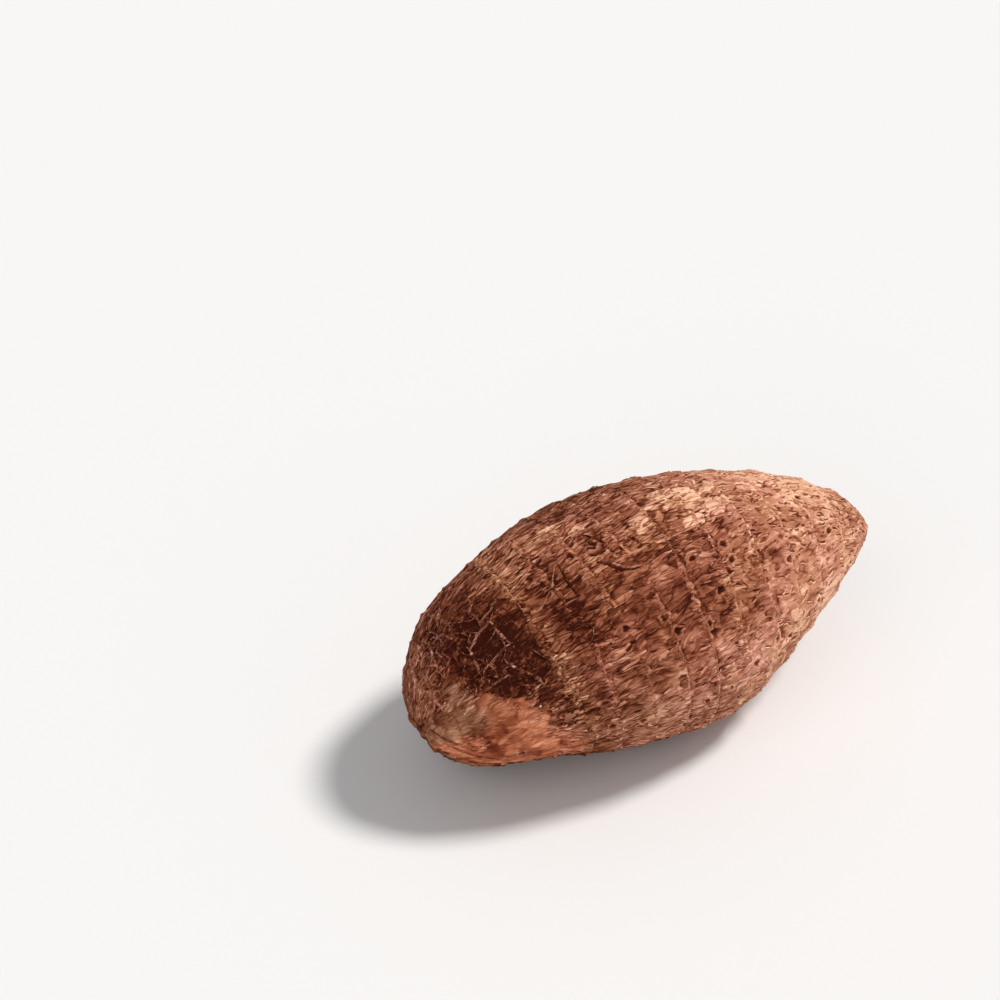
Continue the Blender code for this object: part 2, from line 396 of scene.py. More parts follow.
class Skin:
    """The fine skin as a grid: rows from base to tip, each with ROUND points, and what is known at each."""

    def __init__(self):
        self.table_along, self.table_skin = skin_distance_table()
        self.length = self.table_skin[-1]
        self.rings = ring_distances(self.length)
        ends = self.rings[1:] + [self.length]
        stations = [(FIRST_RING * (k + 0.4) / END_ROWS, -1, k / END_ROWS) for k in range(END_ROWS)]
        for number, (start, end) in enumerate(zip(self.rings, ends)):
            stations += [(start + share * (end - start), number, share) for share in BAND_ROWS]
        self.distance, self.band, self.share = np.array(stations).T
        self.pitch = np.interp(self.distance, self.rings, np.subtract(ends, self.rings))
        self.angles = np.arange(ROUND) * 2 * math.pi / ROUND
        self.angle = np.broadcast_to(self.angles, (len(stations), ROUND))
        count = self.band + self.share
        freedom = RING_WANDER * np.sin(math.pi * self.distance / self.length)[:, None]
        self.strayed = self.distance[:, None] + freedom * noise_round(0.3 * count, self.angles, 0.9, 1)
        self.along = self.along_at(self.strayed)
        self.plain = body_points(self.along, self.angle)
        self.normal = body_normals(self.along, self.angle)
        self.section = section_radius(self.along)
        middles = np.array([0.5 * FIRST_RING] + [(a + b) / 2 for a, b in zip(self.rings, ends)])
        radii = section_radius(self.along_at(middles))
        self.band_radius = radii[self.band.astype(int) + 1][:, None]

    def grain(self, sway, seed, anew=True):
        """Places in metres for noise that runs along the fibres, and may start anew in each band."""
        radius = self.band_radius if anew else self.section
        turn = self.angle + sway * (cloud(self.plain / (9 * MM), seed) - 0.5) / np.maximum(radius, 4 * MM)
        start = self.strayed + (0.31 * self.band[:, None] if anew else 0)
        return np.stack([start, radius * np.cos(turn), radius * np.sin(turn)], -1)

    def weave(self, distance, angle):
        """Places for the material's fibres. They run along the skin and draw together towards both ends."""
        return np.stack([distance, WEAVE_RADIUS * np.cos(angle), WEAVE_RADIUS * np.sin(angle)], -1)

    def distance_at(self, along):
        return np.interp(along, self.table_along, self.table_skin)

    def along_at(self, distance):
        return np.interp(distance, self.table_skin, self.table_along)

    def radius_at(self, distance):
        return np.maximum(section_radius(self.along_at(distance)), 2 * MM)

    def sample(self, field, distance, angle):
        """A field of the grid at other places, given by distance along the skin and direction."""
        rows = len(self.distance)
        row = np.clip(np.interp(distance, self.distance, np.arange(rows)), 0, rows - 1.001)
        column = (angle / (2 * math.pi) * ROUND) % ROUND
        i, j = row.astype(int), column.astype(int) % ROUND
        k = (j + 1) % ROUND
        down, across = row - i, column - np.floor(column)
        if field.ndim > 2:
            down, across = down[..., None], across[..., None]
        upper = field[i, j] * (1 - across) + field[i, k] * across
        lower = field[i + 1, j] * (1 - across) + field[i + 1, k] * across
        return upper * (1 - down) + lower * down


def patch_region(skin):
    """1 on the rubbed patch, 0 off it. Its edge is ragged."""
    down = (skin.along - PATCH_ALONG) / PATCH_REACH_ALONG
    middle = np.radians(PATCH_ROUND + PATCH_SLANT * (skin.along - PATCH_ROUND_AT))
    across = angle_gap(skin.angle, middle) / math.radians(PATCH_REACH_ROUND)
    broad = cloud(skin.plain / (6 * MM), 21)
    fine = cloud(skin.grain(3 * MM, 23, False) / (5 * MM, 1.8 * MM, 1.8 * MM), 22)
    return 1 - ramp(np.hypot(down, across) + 0.5 * (broad - 0.5) + 0.34 * (fine - 0.5), 0.95, 1.03)


def area_offsets(area, along, angle):
    """How far places are from the middle of an area along and round, as shares of its reach."""
    place, direction, reach_along, reach_round = area
    across = angle_gap(angle, math.radians(direction)) / math.radians(reach_round)
    return (along - place) / reach_along, across


def area_bump(area, along, angle):
    """1 in the middle of an area, falling to 0 round it."""
    down, across = area_offsets(area, along, angle)
    return np.exp(-down ** 2 - across ** 2)


def area_share(areas, along, angle):
    """The nearest to 1 where places are inside one of the areas, 0 far from them all."""
    share = 0
    for area in areas:
        share = np.maximum(share, area_bump(area, along, angle))
    return share


def ledge_profile(share):
    """Height over a band as a share of its pitch: a step down from the crest, then a slow rise."""
    step = CREST_SHARE - (CREST_SHARE + FOOT_SHARE) * ramp(share, 0, FOOT_PLACE)
    rise = (CREST_SHARE + FOOT_SHARE) * np.clip((share - FOOT_PLACE) / (1 - FOOT_PLACE), 0, 1) ** 2.6
    return step + rise


def root_scars():
    """Where roots came out: along, direction and radius of each."""
    keys = np.arange(RANDOM_SCARS)
    along = np.append(0.05 + 0.9 * hashed(keys, 1, RANDOM_SCARS_SEED), [place for place, _ in ROOT_SCARS])
    angle = 2 * math.pi * hashed(keys, 2, RANDOM_SCARS_SEED)
    angle = np.append(angle, [math.radians(turn) for _, turn in ROOT_SCARS])
    in_view = np.abs(angle_gap(angle, VIEW_DIRECTION)) < VIEW_REACH
    keep = ~in_view | (np.arange(len(angle)) >= RANDOM_SCARS)
    keys = np.arange(len(angle))[keep]
    return along[keep], angle[keep], (0.90 + 0.40 * hashed(keys, 3, RANDOM_SCARS_SEED)) * MM


def root_pits(skin):
    """1 in the hole that each root left, and 1 on the skin close beside one."""
    pit, beside = np.zeros((2, *skin.along.shape))
    for along, angle, size in zip(*root_scars()):
        down = (skin.along - along) * LENGTH
        across = angle_gap(skin.angle, angle) * skin.section
        away = np.hypot(down, across) / size
        pit = np.maximum(pit, 1 - ramp(away, 0.5, 1.4))
        beside = np.maximum(beside, 1 - ramp(away, 1.4, 3.0))
    return pit, beside


def bud_wrinkles(skin):
    """Rings of wrinkles round the old buds, from about -1 to 1."""
    wrinkle = np.zeros_like(skin.along)
    for bud in BUDS:
        down, across = area_offsets(bud, skin.along, skin.angle)
        away = np.hypot(down, across) + 0.35 * (cloud(skin.plain / (3.5 * MM), 65) - 0.5)
        wrinkle = wrinkle - np.cos(2 * math.pi * 2.6 * away) * (1 - ramp(away, 0.5, 1.25))
    return wrinkle


def find_fields(skin):
    """What the relief and the tones share: noise, fibres, plates and cracks, rings, buds and pits."""
    skin.slow = cloud(skin.plain / (14 * MM), 11)
    skin.medium = cloud(skin.plain / (5 * MM), 12)
    skin.rubbed = patch_region(skin)

    long_fibres = cloud(skin.grain(4.5 * MM, 31) / (8.0 * MM, 2.3 * MM, 2.3 * MM), 32)
    short_fibres = cloud(skin.grain(6.0 * MM, 33) / (4.0 * MM, 1.5 * MM, 1.5 * MM), 34)
    skin.fibre = 0.55 * (1 - np.abs(2 * long_fibres - 1)) + 0.45 * (1 - np.abs(2 * short_fibres - 1))

    skin.border, skin.plate = cells(skin.grain(5.0 * MM, 41) / (8.0 * MM, 4.5 * MM, 4.5 * MM), 42)
    skin.crack = 1 - ramp(skin.border, 0.02, 0.14)
    skin.crack = skin.crack * ramp(cloud(skin.plain / (9 * MM), 44), 0.4, 0.65)

    share = skin.share[:, None]
    ring = 3.7 * np.round(skin.band + skin.share)[:, None] + 0 * skin.angle
    skin.stretch = cloud(np.stack([2.2 * np.cos(skin.angle), 2.2 * np.sin(skin.angle), ring], -1), 46)
    skin.lip = np.exp(-((share - 0.985) / 0.03) ** 2) + np.exp(-(share / 0.03) ** 2)
    skin.groove = np.exp(-((share - 0.07) / 0.035) ** 2)
    skin.ring_line = ramp(skin.stretch + 0.6 * (skin.medium - 0.5), 0.3, 0.75)

    skin.wrinkle = bud_wrinkles(skin)
    skin.pit, skin.beside_pit = root_pits(skin)


def relief(skin):
    """Height of each point over the plain body."""
    quiet = 1 - 0.85 * skin.rubbed
    tipward = ramp(skin.along, 0.55, 0.85)
    fade = np.minimum(1, skin.section / SWELLING_FADE)
    ledge = ledge_profile(skin.share[:, None]) * skin.pitch[:, None] * LEDGE_SHARE
    ledge = ledge * (0.45 + 1.1 * skin.stretch)
    plates = PLATE_HEIGHT * (skin.plate - 0.5) * ramp(skin.border, 0.0, 0.2)
    rim = np.exp(-((skin.strayed - RIM_PLACE) / RIM_WIDTH) ** 2)

    height = ledge * fade * quiet
    height += (LIP_HEIGHT * skin.lip - GROOVE_DEPTH * skin.groove) * skin.ring_line * fade * quiet
    height += FIBRE_HEIGHT * (skin.fibre - 0.5) * quiet * (0.6 + 0.8 * skin.slow) * (1 - 0.5 * tipward)
    height += (plates - CRACK_DEPTH * skin.crack) * quiet
    height += DENT_HEIGHT * noise_at(skin.plain, DENT_SIZE)
    height -= RUBBED_DEPTH * skin.rubbed
    height -= SCAR_DEPTH * np.maximum(0, 1 - (skin.distance / SCAR_REACH) ** 2)[:, None] ** 2
    height += RIM_HEIGHT * rim * (0.4 + 0.9 * skin.medium)
    height += WRINKLE_HEIGHT * skin.wrinkle
    height -= PIT_DEPTH * skin.pit
    return height


def base_tone(skin):
    """Broad tones off the rubbed patch."""
    tone = np.interp(skin.along, *np.array(TONE_ALONG).T) + 0.16 * (skin.slow - 0.5)
    for *area, change in TONE_AREAS:
        tone = tone + change * area_bump(area, skin.along, skin.angle)
    return tone


def rubbed_tone(skin):
    """Tones of the rubbed patch: tongues of skin with dark borders and light rims, and a few spots."""
    border, tongue = cells(skin.grain(3.0 * MM, 63, False) / (6.5 * MM, 3.4 * MM, 3.4 * MM), 64)
    tone = 0.58 + 0.24 * (skin.medium - 0.5) + 0.16 * (cloud(skin.plain / (2.2 * MM), 49) - 0.5)
    tone += 0.26 * (tongue - 0.5) - 0.14 * (1 - ramp(border, 0.02, 0.10))
    tone += 0.10 * np.exp(-((border - 0.20) / 0.07) ** 2)
    tone -= 0.20 * area_share(DARK_SPOTS, skin.along, skin.angle)
    tone += 0.10 * area_share(LIGHT_SPOTS, skin.along, skin.angle)
    return tone


def find_marks(skin):
    """The tone and the other marks of each point, which the material reads."""
    along, angle, rubbed, medium = skin.along, skin.angle, skin.rubbed, skin.medium
    scar = 1 - ramp(skin.strayed + 2.5 * MM * (medium - 0.5), *SCAR_EDGE)
    cork = cloud(skin.plain / (1.6 * MM), 62)
    olive = (1 - ramp(along, 0.070, 0.105)) * (1 - ramp(angle, 2.5, 2.8))
    skin.tone = base_tone(skin) * (1 - rubbed) + (rubbed_tone(skin) - (0.01 + 0.09 * olive)) * rubbed
    skin.tone = skin.tone * (1 - scar) + scar * (0.45 + 0.22 * (cork - 0.5) + 0.35 * (medium - 0.5))
    skin.tone = skin.tone - 0.22 * np.exp(-((skin.strayed - DARK_LINE_PLACE) / DARK_LINE_WIDTH) ** 2)
    skin.patch = np.maximum(rubbed, 0.6 * scar)

    soft = area_share(SOFT_AREAS, along, angle)
    skin.calm = np.maximum(soft, skin.beside_pit)
    skin.net = area_share(NET_AREAS, along, angle) * (1 - skin.patch)
    broad, fine = cloud(skin.plain / (11 * MM), 47), cloud(skin.plain / (4 * MM), 48)
    skin.hue = 0.5 + 1.2 * (broad - 0.5) + 0.5 * (fine - 0.5)
    skin.hue += rubbed * (0.7 - 1.5 * olive) - 0.7 * np.exp(-((along - OLIVE_BAND) / OLIVE_BAND_REACH) ** 2)
    skin.hue += 0.35 * soft - 0.6 * area_share(OLIVE_AREAS, along, angle)
    skin.hue += 0.45 * skin.net

    detail = 0.22 * (skin.fibre - 0.55) + 0.14 * (medium - 0.5) + 0.14 * (skin.plate - 0.5)
    detail -= 0.25 * skin.crack
    detail += (0.12 + 0.32 * soft) * (cloud(skin.plain / (3.2 * MM), 66) - 0.5)
    # The dark line in the groove just past each ring's lip is partly darker skin and partly painted shadow.
    detail += (0.16 * skin.lip - 0.26 * skin.groove) * skin.ring_line + 0.12 * skin.wrinkle
    # The dark line along the edge of the sunken rubbed patch, from rubbed * (1 - rubbed), is painted shadow.
    tone = skin.tone + detail * (1 - 0.85 * skin.patch) - 0.5 * skin.pit - 0.5 * rubbed * (1 - rubbed)
    sway = 5 * MM * (cloud(skin.plain / (9 * MM), 61) - 0.5) / WEAVE_RADIUS
    marks = {mark: getattr(skin, mark) for mark in ("patch", "hue", "calm", "net")}
    return {"tone": tone, "grain": skin.weave(skin.strayed, angle + sway), **marks}


def grid_faces(rows):
    """Quads of a closed tube of rows, each with ROUND points, and the fans that close its two ends."""
    j = np.arange(ROUND)
    k = (j + 1) % ROUND
    starts = ROUND * np.arange(rows - 1)[:, None]
    quads = np.stack([starts + j, starts + k, starts + ROUND + k, starts + ROUND + j], -1).reshape(-1, 4)
    base_point, tip_point = rows * ROUND, rows * ROUND + 1
    last = (rows - 1) * ROUND
    fans = [(base_point, b, a) for a, b in zip(j, k)]
    fans += [(last + a, last + b, tip_point) for a, b in zip(j, k)]
    return quads.tolist() + [tuple(int(x) for x in fan) for fan in fans]


def add_object(name, vertices, faces, marks, material):
    """A mesh that stays above the floor, with a mark of each kind at every vertex."""
    vertices[:, 2] = np.maximum(vertices[:, 2], 0)
    mesh = bpy.data.meshes.new(name)
    mesh.from_pydata(vertices.tolist(), [], faces)
    for mark, values in marks.items():
        flat = values.ndim == 1
        layer = mesh.attributes.new(mark, "FLOAT" if flat else "FLOAT_VECTOR", "POINT")
        layer.data.foreach_set("value" if flat else "vector", np.asarray(values, np.float32).ravel())
    mesh.update()
    mesh.shade_smooth()
    piece = bpy.data.objects.new(name, mesh)
    bpy.context.scene.collection.objects.link(piece)
    mesh.materials.append(material)
    return piece


def make_skin(skin, material):
    """The piece that stands for the whole tuber, set where the CAD's solid is."""
    find_fields(skin)
    marks = find_marks(skin)
    points = skin.plain + relief(skin)[..., None] * skin.normal
    ends = body_points(np.array((0.0, 1.0)), np.zeros(2)) + np.array(((SCAR_DEPTH, 0, 0), (0, 0, 0)))
    vertices = np.concatenate([points.reshape(-1, 3), ends])
    low, high = vertices.min(axis=0), vertices.max(axis=0)
    shift = np.array(cad_low + cad_high) / 2 - (low + high) / 2
    shift[2] = cad_high.z - high[2]
    vertices += shift
    skin.surface = points + shift
    for name, values in marks.items():
        rows = values.reshape(-1, *values.shape[2:])
        marks[name] = np.concatenate([rows, [values[0].mean(axis=0), values[-1].mean(axis=0)]])
    piece = add_object("skin", vertices, grid_faces(len(points)), marks, material)
    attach(piece, "root")
    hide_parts("tuber")


def ribbons(skin, path, turn, width, height, tone, edge=-0.12 * MM):
    """Strips along paths on the skin. Each has four points across: the outer two are sunk in the skin."""
    path = np.clip(path, 0.3 * MM, skin.length - 0.6 * MM)
    shown = skin.sample(skin.surface, path, turn)[..., 2].max(axis=1) > 0.4 * MM
    path, turn, width, height, tone = (x[shown] for x in (path, turn, width, height, tone))
    radius = skin.radius_at(path)
    run, swing = np.gradient(path, axis=1), np.gradient(turn, axis=1) * radius
    size = np.hypot(run, swing) + 1e-9
    points, grains = [], []
    shift = 0.5 * hashed(np.arange(len(path)), 77)[:, None, None] * np.array((0, 1, 0))
    for side in ACROSS:
        place = path - side * width * swing / size
        angle = turn + side * width * run / size / radius
        lift = height if abs(side) < 0.4 else np.full_like(height, edge)
        normal = skin.sample(skin.normal, place, angle)
        points.append(skin.sample(skin.surface, place, angle) + lift[..., None] * normal)
        grains.append(skin.weave(place, angle) + shift)
    soft = skin.sample(skin.calm, path, turn)[..., None]
    # Painted shade darkens the sunk outer edges of each strip, less on calm skin.
    tone = tone[..., None] + np.array(ACROSS_SHADE) * (1 - 0.6 * soft)
    marks = {"tone": tone, "grain": np.stack(grains, 2)}
    for mark, field in (("hue", skin.hue), ("calm", skin.calm), ("patch", 0.5 * skin.patch)):
        marks[mark] = np.broadcast_to(skin.sample(field, path, turn)[..., None], tone.shape)
    return np.stack(points, 2), marks


def add_ribbons(name, groups, material):
    """One piece with all the strips of these groups."""
    vertices, faces, first = [], [], 0
    marks = {mark: [] for mark in groups[0][1]}
    for points, found in groups:
        count, steps = points.shape[:2]
        i = np.arange(steps - 1)[:, None] * 4 + np.arange(3)
        quad = np.stack([i, i + 1, i + 5, i + 4], -1).reshape(-1, 4)
        faces += (first + np.arange(count)[:, None, None] * steps * 4 + quad).reshape(-1, 4).tolist()
        first += count * steps * 4
        vertices.append(points.reshape(-1, 3))
        for mark, values in found.items():
            marks[mark].append(values.reshape(-1, *values.shape[3:]))
    marks = {mark: np.concatenate(values) for mark, values in marks.items()}
    piece = add_object(name, np.concatenate(vertices), faces, marks, material)
    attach(piece, "root")


def scatter(skin, count, seed):
    """Random places all over the skin, as many on each part as its area asks for."""
    keys = np.arange(count)
    along = 0.015 + 0.965 * hashed(keys, 1, seed)
    keep = hashed(keys, 2, seed) < section_radius(along) / RADIUS
    keep &= skin.distance_at(along) > FIRST_RING
    keys = keys[keep]
    return keys, skin.distance_at(along[keep]), 2 * math.pi * hashed(keys, 3, seed)


def in_rows(skin, spacing, length, seed):
    """Places in rows within each band, side by side round it, with the limits of a strand there."""
    limits = skin.rings + [skin.length - 1.5 * MM]
    found = []
    for low, high in zip(limits[:-1], limits[1:]):
        around = int(2 * math.pi * float(skin.radius_at((low + high) / 2)) / spacing)
        rows = max(1, round((high - low) / length))
        row, column = np.indices((rows, around)).reshape(2, -1)
        same = np.ones(len(row))
        found.append(np.stack([row, column, rows * same, around * same, low * same, high * same]))
    row, column, rows, around, low, high = np.concatenate(found, axis=1)
    keys = np.arange(len(row))
    pitch = (high - low) / rows
    distance = low + (row + 0.5 + 0.5 * (hashed(keys, 1, seed) - 0.5)) * pitch
    angle = (column + 0.5 * (row % 2) + 0.8 * (hashed(keys, 2, seed) - 0.5)) / around * 2 * math.pi
    return keys, distance, angle, pitch, low, high


def clear_of(skin, path, turn, along, angle, room):
    """True for the strips that keep this far away from these places."""
    spots = skin.sample(skin.surface, skin.distance_at(along), angle)
    points = skin.sample(skin.surface, path, turn)
    return (np.linalg.norm(points[:, :, None] - spots, axis=-1) > room).all(axis=(1, 2))


def clear_of_scars(skin, path, turn):
    along, angle, size = root_scars()
    return clear_of(skin, path, turn, along, angle, 1.7 * size)


def strands(skin, seed, spacing, length, lean, width, lift, lighter, share):
    """Ridges of fibre along the skin, each within one band, in tufts with barer skin between."""
    keys, distance, angle, pitch, low, high = in_rows(skin, spacing, length, seed)
    bark = ramp(distance, 0.105, 0.165)
    slim = 1 - 0.35 * bark
    reach = pitch * (0.65 + 0.85 * hashed(keys, 4, seed)) * slim
    start = np.maximum(distance - reach / 2, low + 0.3 * MM)
    end = np.minimum(distance + reach / 2, high + 0.8 * MM * hashed(keys, 11, seed))
    steps = np.linspace(0, 1, 8)
    each = keys[:, None] * 8 + np.arange(8)
    path = start[:, None] + steps * np.maximum(end - start, 1.2 * MM)[:, None]
    radius = skin.radius_at(path)
    where = skin.sample(skin.plain, distance, angle)
    sweep = lean * (cloud(where / (12 * MM), seed) - 0.5) + 0.35 * lean * (hashed(keys, 5, seed) - 0.5)
    turn = angle[:, None] + sweep[:, None] * (path - distance[:, None]) / radius
    bend = 1.3 * MM * (hashed(keys, 6, seed)[:, None] - 0.5) * np.sin(math.pi * steps)
    turn = turn + (bend + 0.18 * MM * np.sin(steps * 7 + 6 * hashed(keys, 12, seed)[:, None])) / radius

    taper = np.sin(math.pi * (0.04 + 0.92 * steps)) ** 0.4 * (0.6 + 0.8 * hashed(each, 14, seed))
    girth = width * ((0.5 + 1.0 * hashed(keys, 7, seed)) * slim)[:, None] * taper
    rise = lift * (0.4 + 1.2 * hashed(keys, 8, seed))[:, None] * (0.4 + 0.9 * hashed(each, 15, seed))
    rise = rise * np.sin(math.pi * (0.03 + 0.94 * steps)) ** 0.5 - 0.08 * MM
    rise = rise * slim[:, None]
    tone = skin.sample(skin.tone, path, turn)
    varied = lighter + 0.22 * (hashed(keys, 9, seed)[:, None] - 0.5) + 0.08 * (hashed(each, 16, seed) - 0.5)
    tone = tone + varied * np.clip(tone / 0.4, 0.3, 1.2) * (1 - 0.5 * skin.sample(skin.calm, path, turn))

    tuft = cloud(where / (6 * MM), seed + 1)
    calm = area_share(CALM_AREAS, skin.along_at(distance), angle)
    calm = np.maximum(calm, 0.7 * skin.sample(skin.net, distance, angle))
    share = share * (1 - 0.6 * bark) * (1 - 0.85 * calm) + 1.6 * (1 - calm) * (tuft - 0.5)
    keep = hashed(keys, 13, seed) < share
    keep &= (skin.sample(skin.patch, path, turn).max(axis=1) < 0.3) & clear_of_scars(skin, path, turn)
    papery = np.array(PAPER_FLAKES)
    keep &= clear_of(skin, path, turn, papery[:, 0], np.radians(papery[:, 1]), 2.6 * MM)
    return ribbons(skin, *(x[keep] for x in (path, turn, girth, rise, tone)))


def ring_lips(skin):
    """The worn edge of each ring, which comes and goes."""
    turn = np.linspace(0, 2 * math.pi, 321)
    numbers = np.arange(len(skin.rings))
    looks = np.array([RING_LOOKS.get(number, RING_LOOK) for number in numbers])[:, :, None]
    circle = np.stack([np.cos(turn), np.sin(turn)], -1)

    def along_ring(turns, seed):
        """Noise between 0 and 1 round each ring, with about six lumps for each turn."""
        places = [np.column_stack([turns * circle, np.full(len(circle), 5.3 * number)]) for number in numbers]
        return cloud(np.array(places), seed)

    strength = ramp(0.6 * along_ring(2.5, 71) + 0.4 * along_ring(12, 72), 0.36, 0.62)
    known = np.array([[number in RING_LOOKS] for number in numbers])
    strength = np.where(known, 0.35 + 0.65 * strength, strength)
    strength = strength * (1 - 0.55 * np.exp(-(angle_gap(turn, FAINT_RINGS) / FAINT_RINGS_REACH) ** 2))
    path = np.array(skin.rings)[:, None] + 2.2 * MM * (along_ring(8, 73) - 0.5)
    path = path + 1.4 * MM * (along_ring(22, 74) - 0.5)
    turn = np.broadcast_to(turn, path.shape)
    rough = 1 - skin.sample(skin.patch, path, turn)
    fade = np.minimum(1, skin.radius_at(path) / (14 * MM))
    width = looks[:, 0] * (0.5 + 0.9 * along_ring(24, 75)) * (0.6 + 0.4 * strength) * fade
    height = looks[:, 1] * strength * (0.4 + 1.2 * along_ring(34, 76)) * fade
    height = (height + 0.12 * MM) * rough - 0.12 * MM
    tone = skin.sample(skin.tone, path, turn) + looks[:, 2] * strength + 0.22 * (along_ring(45, 78) - 0.5)
    return ribbons(skin, path, turn, width, height - 0.02 * MM, tone, -0.25 * MM)


def strokes(skin, distance, angle, reach, way, steps):
    """Lines through these places, each with its own length and way, where 0 is towards the tip."""
    path = distance[:, None] + reach[:, None] * steps * np.cos(way)
    return path, angle[:, None] + reach[:, None] * steps * np.sin(way) / skin.radius_at(path)


def loose_fibres(skin, count, seed):
    """Thin roots that lie across the rest in any direction, mostly where the skin is dark."""
    keys, distance, angle = scatter(skin, count, seed)
    dark = skin.sample(skin.tone, distance, angle)
    keep = hashed(keys, 4, seed) < ramp(0.42 - dark, 0, 0.25) * 0.8
    keep &= skin.sample(skin.patch, distance, angle) < 0.2
    keys, distance, angle, dark = keys[keep], distance[keep], angle[keep], dark[keep]
    steps = np.linspace(-0.5, 0.5, 10)
    reach = (4 + 9 * hashed(keys, 5, seed)) * MM
    way = math.pi * hashed(keys, 6, seed)[:, None] + 2.4 * (hashed(keys, 7, seed)[:, None] - 0.5) * steps
    path, turn = strokes(skin, distance, angle, reach, way, steps)
    shape = np.sin(math.pi * (0.05 + 0.9 * (steps + 0.5))) ** 0.4
    girth = (0.32 + 0.34 * hashed(keys, 8, seed))[:, None] * MM * shape
    rise = 0.50 * MM * shape - 0.05 * MM + 0 * girth
    tone = (0.18 + 0.28 * hashed(keys, 9, seed) + 0.4 * dark)[:, None] + 0 * girth
    return ribbons(skin, path, turn, girth, rise, tone)


def drawn(skin, lines, width, height, tone, wiggle, offset=0.0, own=1, steps=14):
    """Strips along listed lines. Their tone is added to the skin's own where own is 1."""
    at = np.linspace(0, 1, steps)
    path, turn = [], []
    for line in lines:
        along, angle = np.array(line).T
        knots = np.linspace(0, 1, len(line))
        path.append(skin.distance_at(np.interp(at, knots, along)) + offset)
        turn.append(np.radians(np.interp(at, knots, angle)))
    path, turn = np.array(path), np.array(turn)
    keys = np.arange(len(lines))[:, None] * steps + np.arange(steps)
    path = path + wiggle * (hashed(keys, 81) - 0.5)
    turn = turn + wiggle * (hashed(keys, 82) - 0.5) / skin.radius_at(path)
    for _ in range(2):
        for course in (path, turn):
            course[:, 1:-1] = 0.25 * course[:, :-2] + 0.5 * course[:, 1:-1] + 0.25 * course[:, 2:]
    shape = np.sin(math.pi * (0.05 + 0.90 * at)) ** 0.6 * (0.75 + 0.5 * hashed(keys, 83))
    tone = tone + own * skin.sample(skin.tone, path, turn)
    return ribbons(skin, path, turn, width * shape, height * shape, tone)


def flakes(skin, count, seed, length, width, lift, lighter, placed=(), pale=0.62):
    """Scales of old skin, loose at the end towards the tip: scattered, and three pale ones at each place."""
    keys, distance, angle = scatter(skin, count, seed)
    limits = np.array([0.0] + skin.rings + [skin.length])
    band = np.searchsorted(limits, distance) - 1
    at_ring = hashed(keys, 4, seed) < 0.45
    distance = np.where(at_ring, limits[band + 1] - 0.3 * length, distance)
    spots = np.repeat(np.array(placed).reshape(-1, 2), 3, axis=0)
    spots = spots + np.array((0.022, 7.0)) * (hashed(np.arange(len(spots))[:, None], np.arange(2), 15) - 0.5)
    keys = np.append(keys, count + np.arange(len(spots)))
    distance = np.append(distance, skin.distance_at(spots[:, 0]))
    angle = np.append(angle, np.radians(spots[:, 1]))
    paper = keys >= count
    bare = skin.sample(skin.patch, distance, angle)
    keep = (bare < 0.4) | paper | ((bare < 0.85) & (hashed(keys, 16, seed) < 0.8))
    keys, distance, angle, paper = keys[keep], distance[keep], angle[keep], paper[keep]
    steps = np.array((-0.5, -0.25, 0.05, 0.3, 0.5, 0.53))
    each = keys[:, None] * 8 + np.arange(6)
    small = 1 - 0.45 * ramp(distance, 0.12, 0.19)
    reach = length * (0.5 + hashed(keys, 5, seed) + 0.5 * paper) * small
    girth = width * (0.5 + hashed(keys, 6, seed) + 0.4 * paper) * small
    path = distance[:, None] + reach[:, None] * steps + 0.2 * girth[:, None] * (hashed(each, 17, seed) - 0.5)
    radius = skin.radius_at(path)
    turn = angle[:, None] + 0.6 * (hashed(keys, 7, seed)[:, None] - 0.5) * reach[:, None] * steps / radius
    turn = turn + 0.35 * girth[:, None] * (hashed(each, 18, seed) - 0.5) / radius
    shape = girth[:, None] * (0.6 + 0.8 * hashed(each, 8, seed)) * np.array((0.35, 0.9, 1.0, 0.9, 0.6, 0.6))
    rise = lift * (0.5 + hashed(keys, 9, seed) + 0.8 * paper)[:, None]
    rise = rise * np.array((-0.3, 0.4, 0.6, 0.85, 1.0, 0))
    rise[:, -1] = -0.12 * MM
    tone = skin.sample(skin.tone, path, turn) + lighter + 0.30 * (hashed(keys, 10, seed)[:, None] - 0.5)
    tone = np.where(paper[:, None], tone * 0.4 + pale, tone)
    keep = clear_of_scars(skin, path, turn) | paper
    return ribbons(skin, *(x[keep] for x in (path, turn, shape, rise, tone)))


def marks_of_wear(skin, count, seed):
    """Short dark cracks with a light edge, most of them towards the tip."""
    keys, distance, angle = scatter(skin, count, seed)
    keep = hashed(keys, 4, seed) < 0.15 + 0.85 * ramp(skin.along_at(distance), 0.45, 0.75)
    keep &= (skin.sample(skin.patch, distance, angle) < 0.5) | (hashed(keys, 14, seed) < 0.25)
    keys, distance, angle = keys[keep], distance[keep], angle[keep]
    steps = np.linspace(-0.5, 0.5, 6)
    reach = (1.2 + 2.4 * hashed(keys, 5, seed)) * MM
    way = 1.0 * (hashed(keys, 6, seed)[:, None] - 0.5) + 1.6 * (hashed(keys, 7, seed)[:, None] - 0.5) * steps
    path, turn = strokes(skin, distance, angle, reach, way, steps)
    shape = np.sin(math.pi * (0.08 + 0.84 * (steps + 0.5))) ** 0.5
    girth = (0.50 + 0.50 * hashed(keys, 8, seed))[:, None] * MM * shape
    tone = skin.sample(skin.tone, path, turn)
    dark = ribbons(skin, path, turn, girth, 0.10 * MM * shape + 0 * girth, tone - 0.38, -0.02 * MM)
    beside = turn + 0.75 * girth.max(axis=1)[:, None] / skin.radius_at(path)
    light = ribbons(skin, path, beside, 0.9 * girth, 0.22 * MM * shape + 0 * girth, tone + 0.12, -0.05 * MM)
    return [dark, light]


